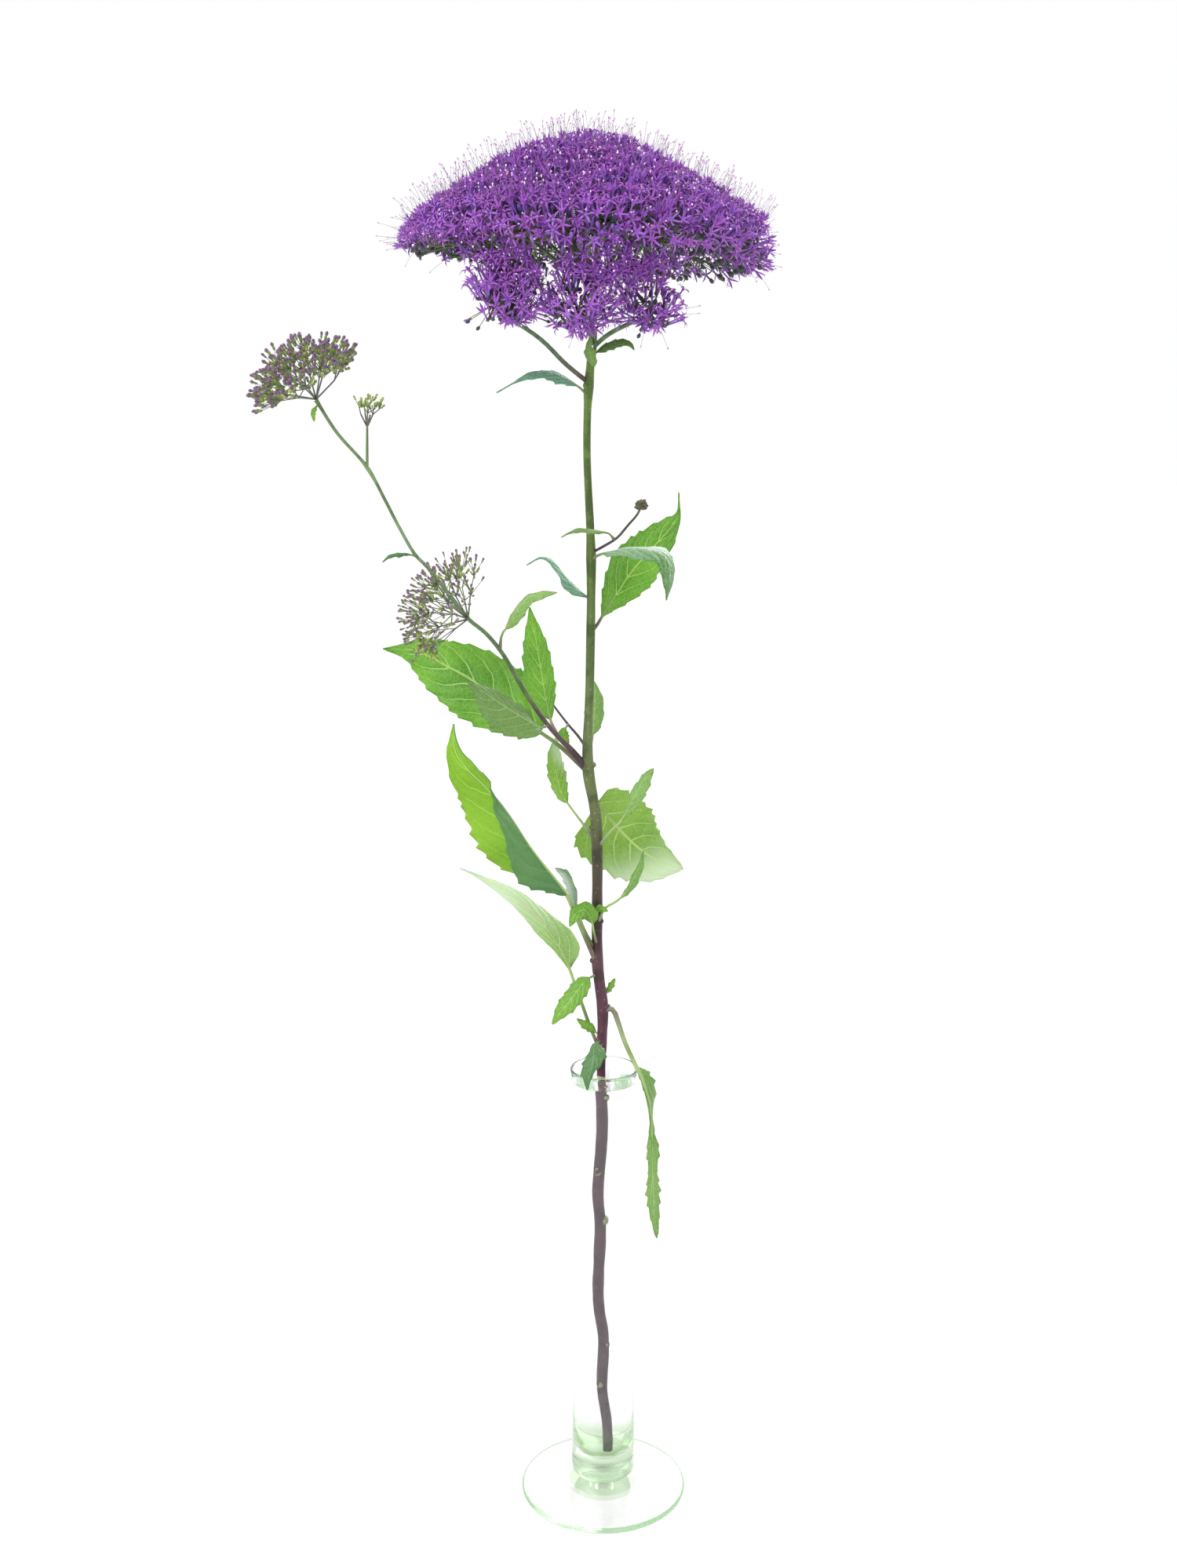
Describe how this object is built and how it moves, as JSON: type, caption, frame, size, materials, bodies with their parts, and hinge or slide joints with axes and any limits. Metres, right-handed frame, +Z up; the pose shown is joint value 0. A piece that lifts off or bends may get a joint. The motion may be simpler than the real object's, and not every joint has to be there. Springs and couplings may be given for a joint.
{
  "type": "throatwort stem in glass bud vase",
  "caption": "Cut throatwort stem with a domed head of star florets, side buds and toothed leaves, standing in a water-filled footed glass bud vase.",
  "frame": {"origin": "centre of the flat underside of the vase foot", "axes": "+Z up along the vase and the stem, -Y towards the front, +X to the right seen from the front"},
  "size_m": [0.1954, 0.1263, 0.5805],
  "materials": {
    "vase_glass": "clear, faintly green blown glass",
    "water": "clear still water",
    "stem": "woody dark brown below, smooth olive to mid green above",
    "branch": "smooth green, purple-brown at the base",
    "floret": "soft violet petals with lilac highlights",
    "bud": "small green and mauve buds on thin green rays",
    "leaf": "satin mid green leaf with paler veins",
    "pale_leaf": "pale yellow-green leaf seen against the light",
    "grey_leaf": "dull grey-green leaf"
  },
  "bodies": {
    "root": {"glass_vase": "vase_glass", "water": "water", "main_stem": "stem", "left_branch": "branch", "bud_twig_right": "branch", "twig_left": "branch", "bloom_dome": "floret", "bloom_left": "floret", "bloom_front": "floret", "bloom_right": "floret", "bud_head_top": "bud", "bud_head_low": "bud", "bud_head_small": "bud", "leaf_broad_left": "leaf", "leaf_grey_left": "grey_leaf", "leaf_upright_left": "leaf", "leaf_high_left": "leaf", "leaf_curl_left": "grey_leaf", "leaf_crossing": "leaf", "leaf_folding_right": "grey_leaf", "leaf_awned_right": "leaf", "leaf_behind_stem": "leaf", "leaf_slim_left": "pale_leaf", "leaf_twig": "leaf", "leaf_pale_right": "pale_leaf", "leaf_rising_right": "leaf", "leaf_curved_right": "leaf", "leaf_folded_left": "leaf", "leaf_folded_small": "grey_leaf", "leaf_pale_left": "pale_leaf", "leaf_toothed_low": "leaf", "leaf_bud_low": "leaf", "leaf_over_rim": "leaf", "leaf_hanging_right": "leaf", "leaf_sprout_right": "leaf", "leaf_under_head": "grey_leaf", "bract_front": "leaf", "bract_right": "leaf", "leaf_axil_left": "leaf", "leaf_axil_right": "leaf", "bract_branch": "grey_leaf", "bract_bud_head": "leaf"}
  },
  "joints": []
}
